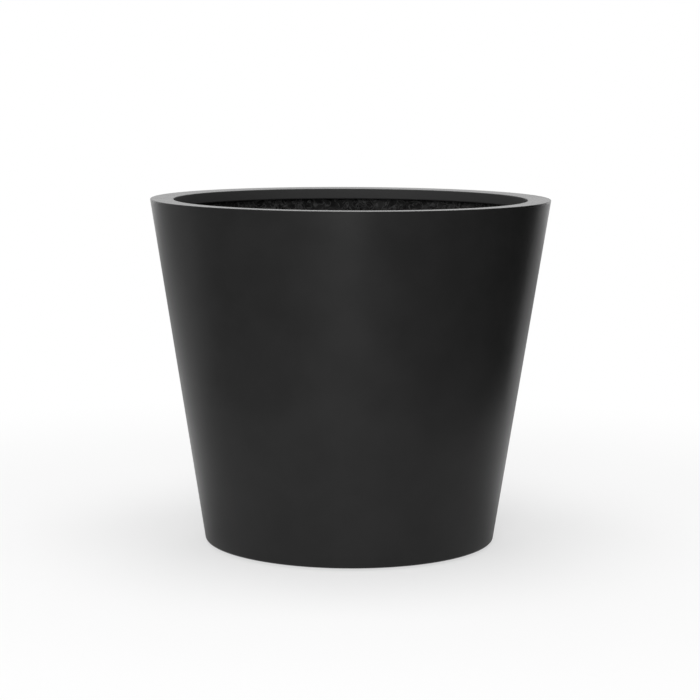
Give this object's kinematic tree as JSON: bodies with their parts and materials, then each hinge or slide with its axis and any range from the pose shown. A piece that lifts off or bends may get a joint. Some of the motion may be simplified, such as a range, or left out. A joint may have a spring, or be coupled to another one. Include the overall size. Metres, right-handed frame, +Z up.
{
  "type": "flower pot",
  "caption": "Tapered round floor planter in matte black stone-filled composite, with a flat turned-in rim, a rough fibre-lined inside, a lift-out drain plug and rubber foot pads.",
  "frame": {"origin": "centre of the pot's axis on the surface that its rubber pads stand on", "axes": "+Z up along the pot's axis, +X to the right and +Y away from the picture's camera"},
  "size_m": [0.5796, 0.5796, 0.503],
  "materials": {
    "black_composite": "matte",
    "fibre_laminate": "rough",
    "black_rubber": "matte"
  },
  "bodies": {
    "pot": {"outer_wall": "black_composite", "rim_ring": "black_composite", "wall_lining": "fibre_laminate", "floor_disc": "fibre_laminate", "floor_cove": "fibre_laminate", "foot_pad_1": "black_rubber", "foot_pad_2": "black_rubber", "foot_pad_3": "black_rubber", "foot_pad_4": "black_rubber"},
    "plug": {"drain_plug": "black_rubber"}
  },
  "joints": [
    {"name": "plug_lift", "type": "slide", "parent": "pot", "child": "plug", "axis": [0, 0, 1], "range_m": [0, 0.51]}
  ]
}
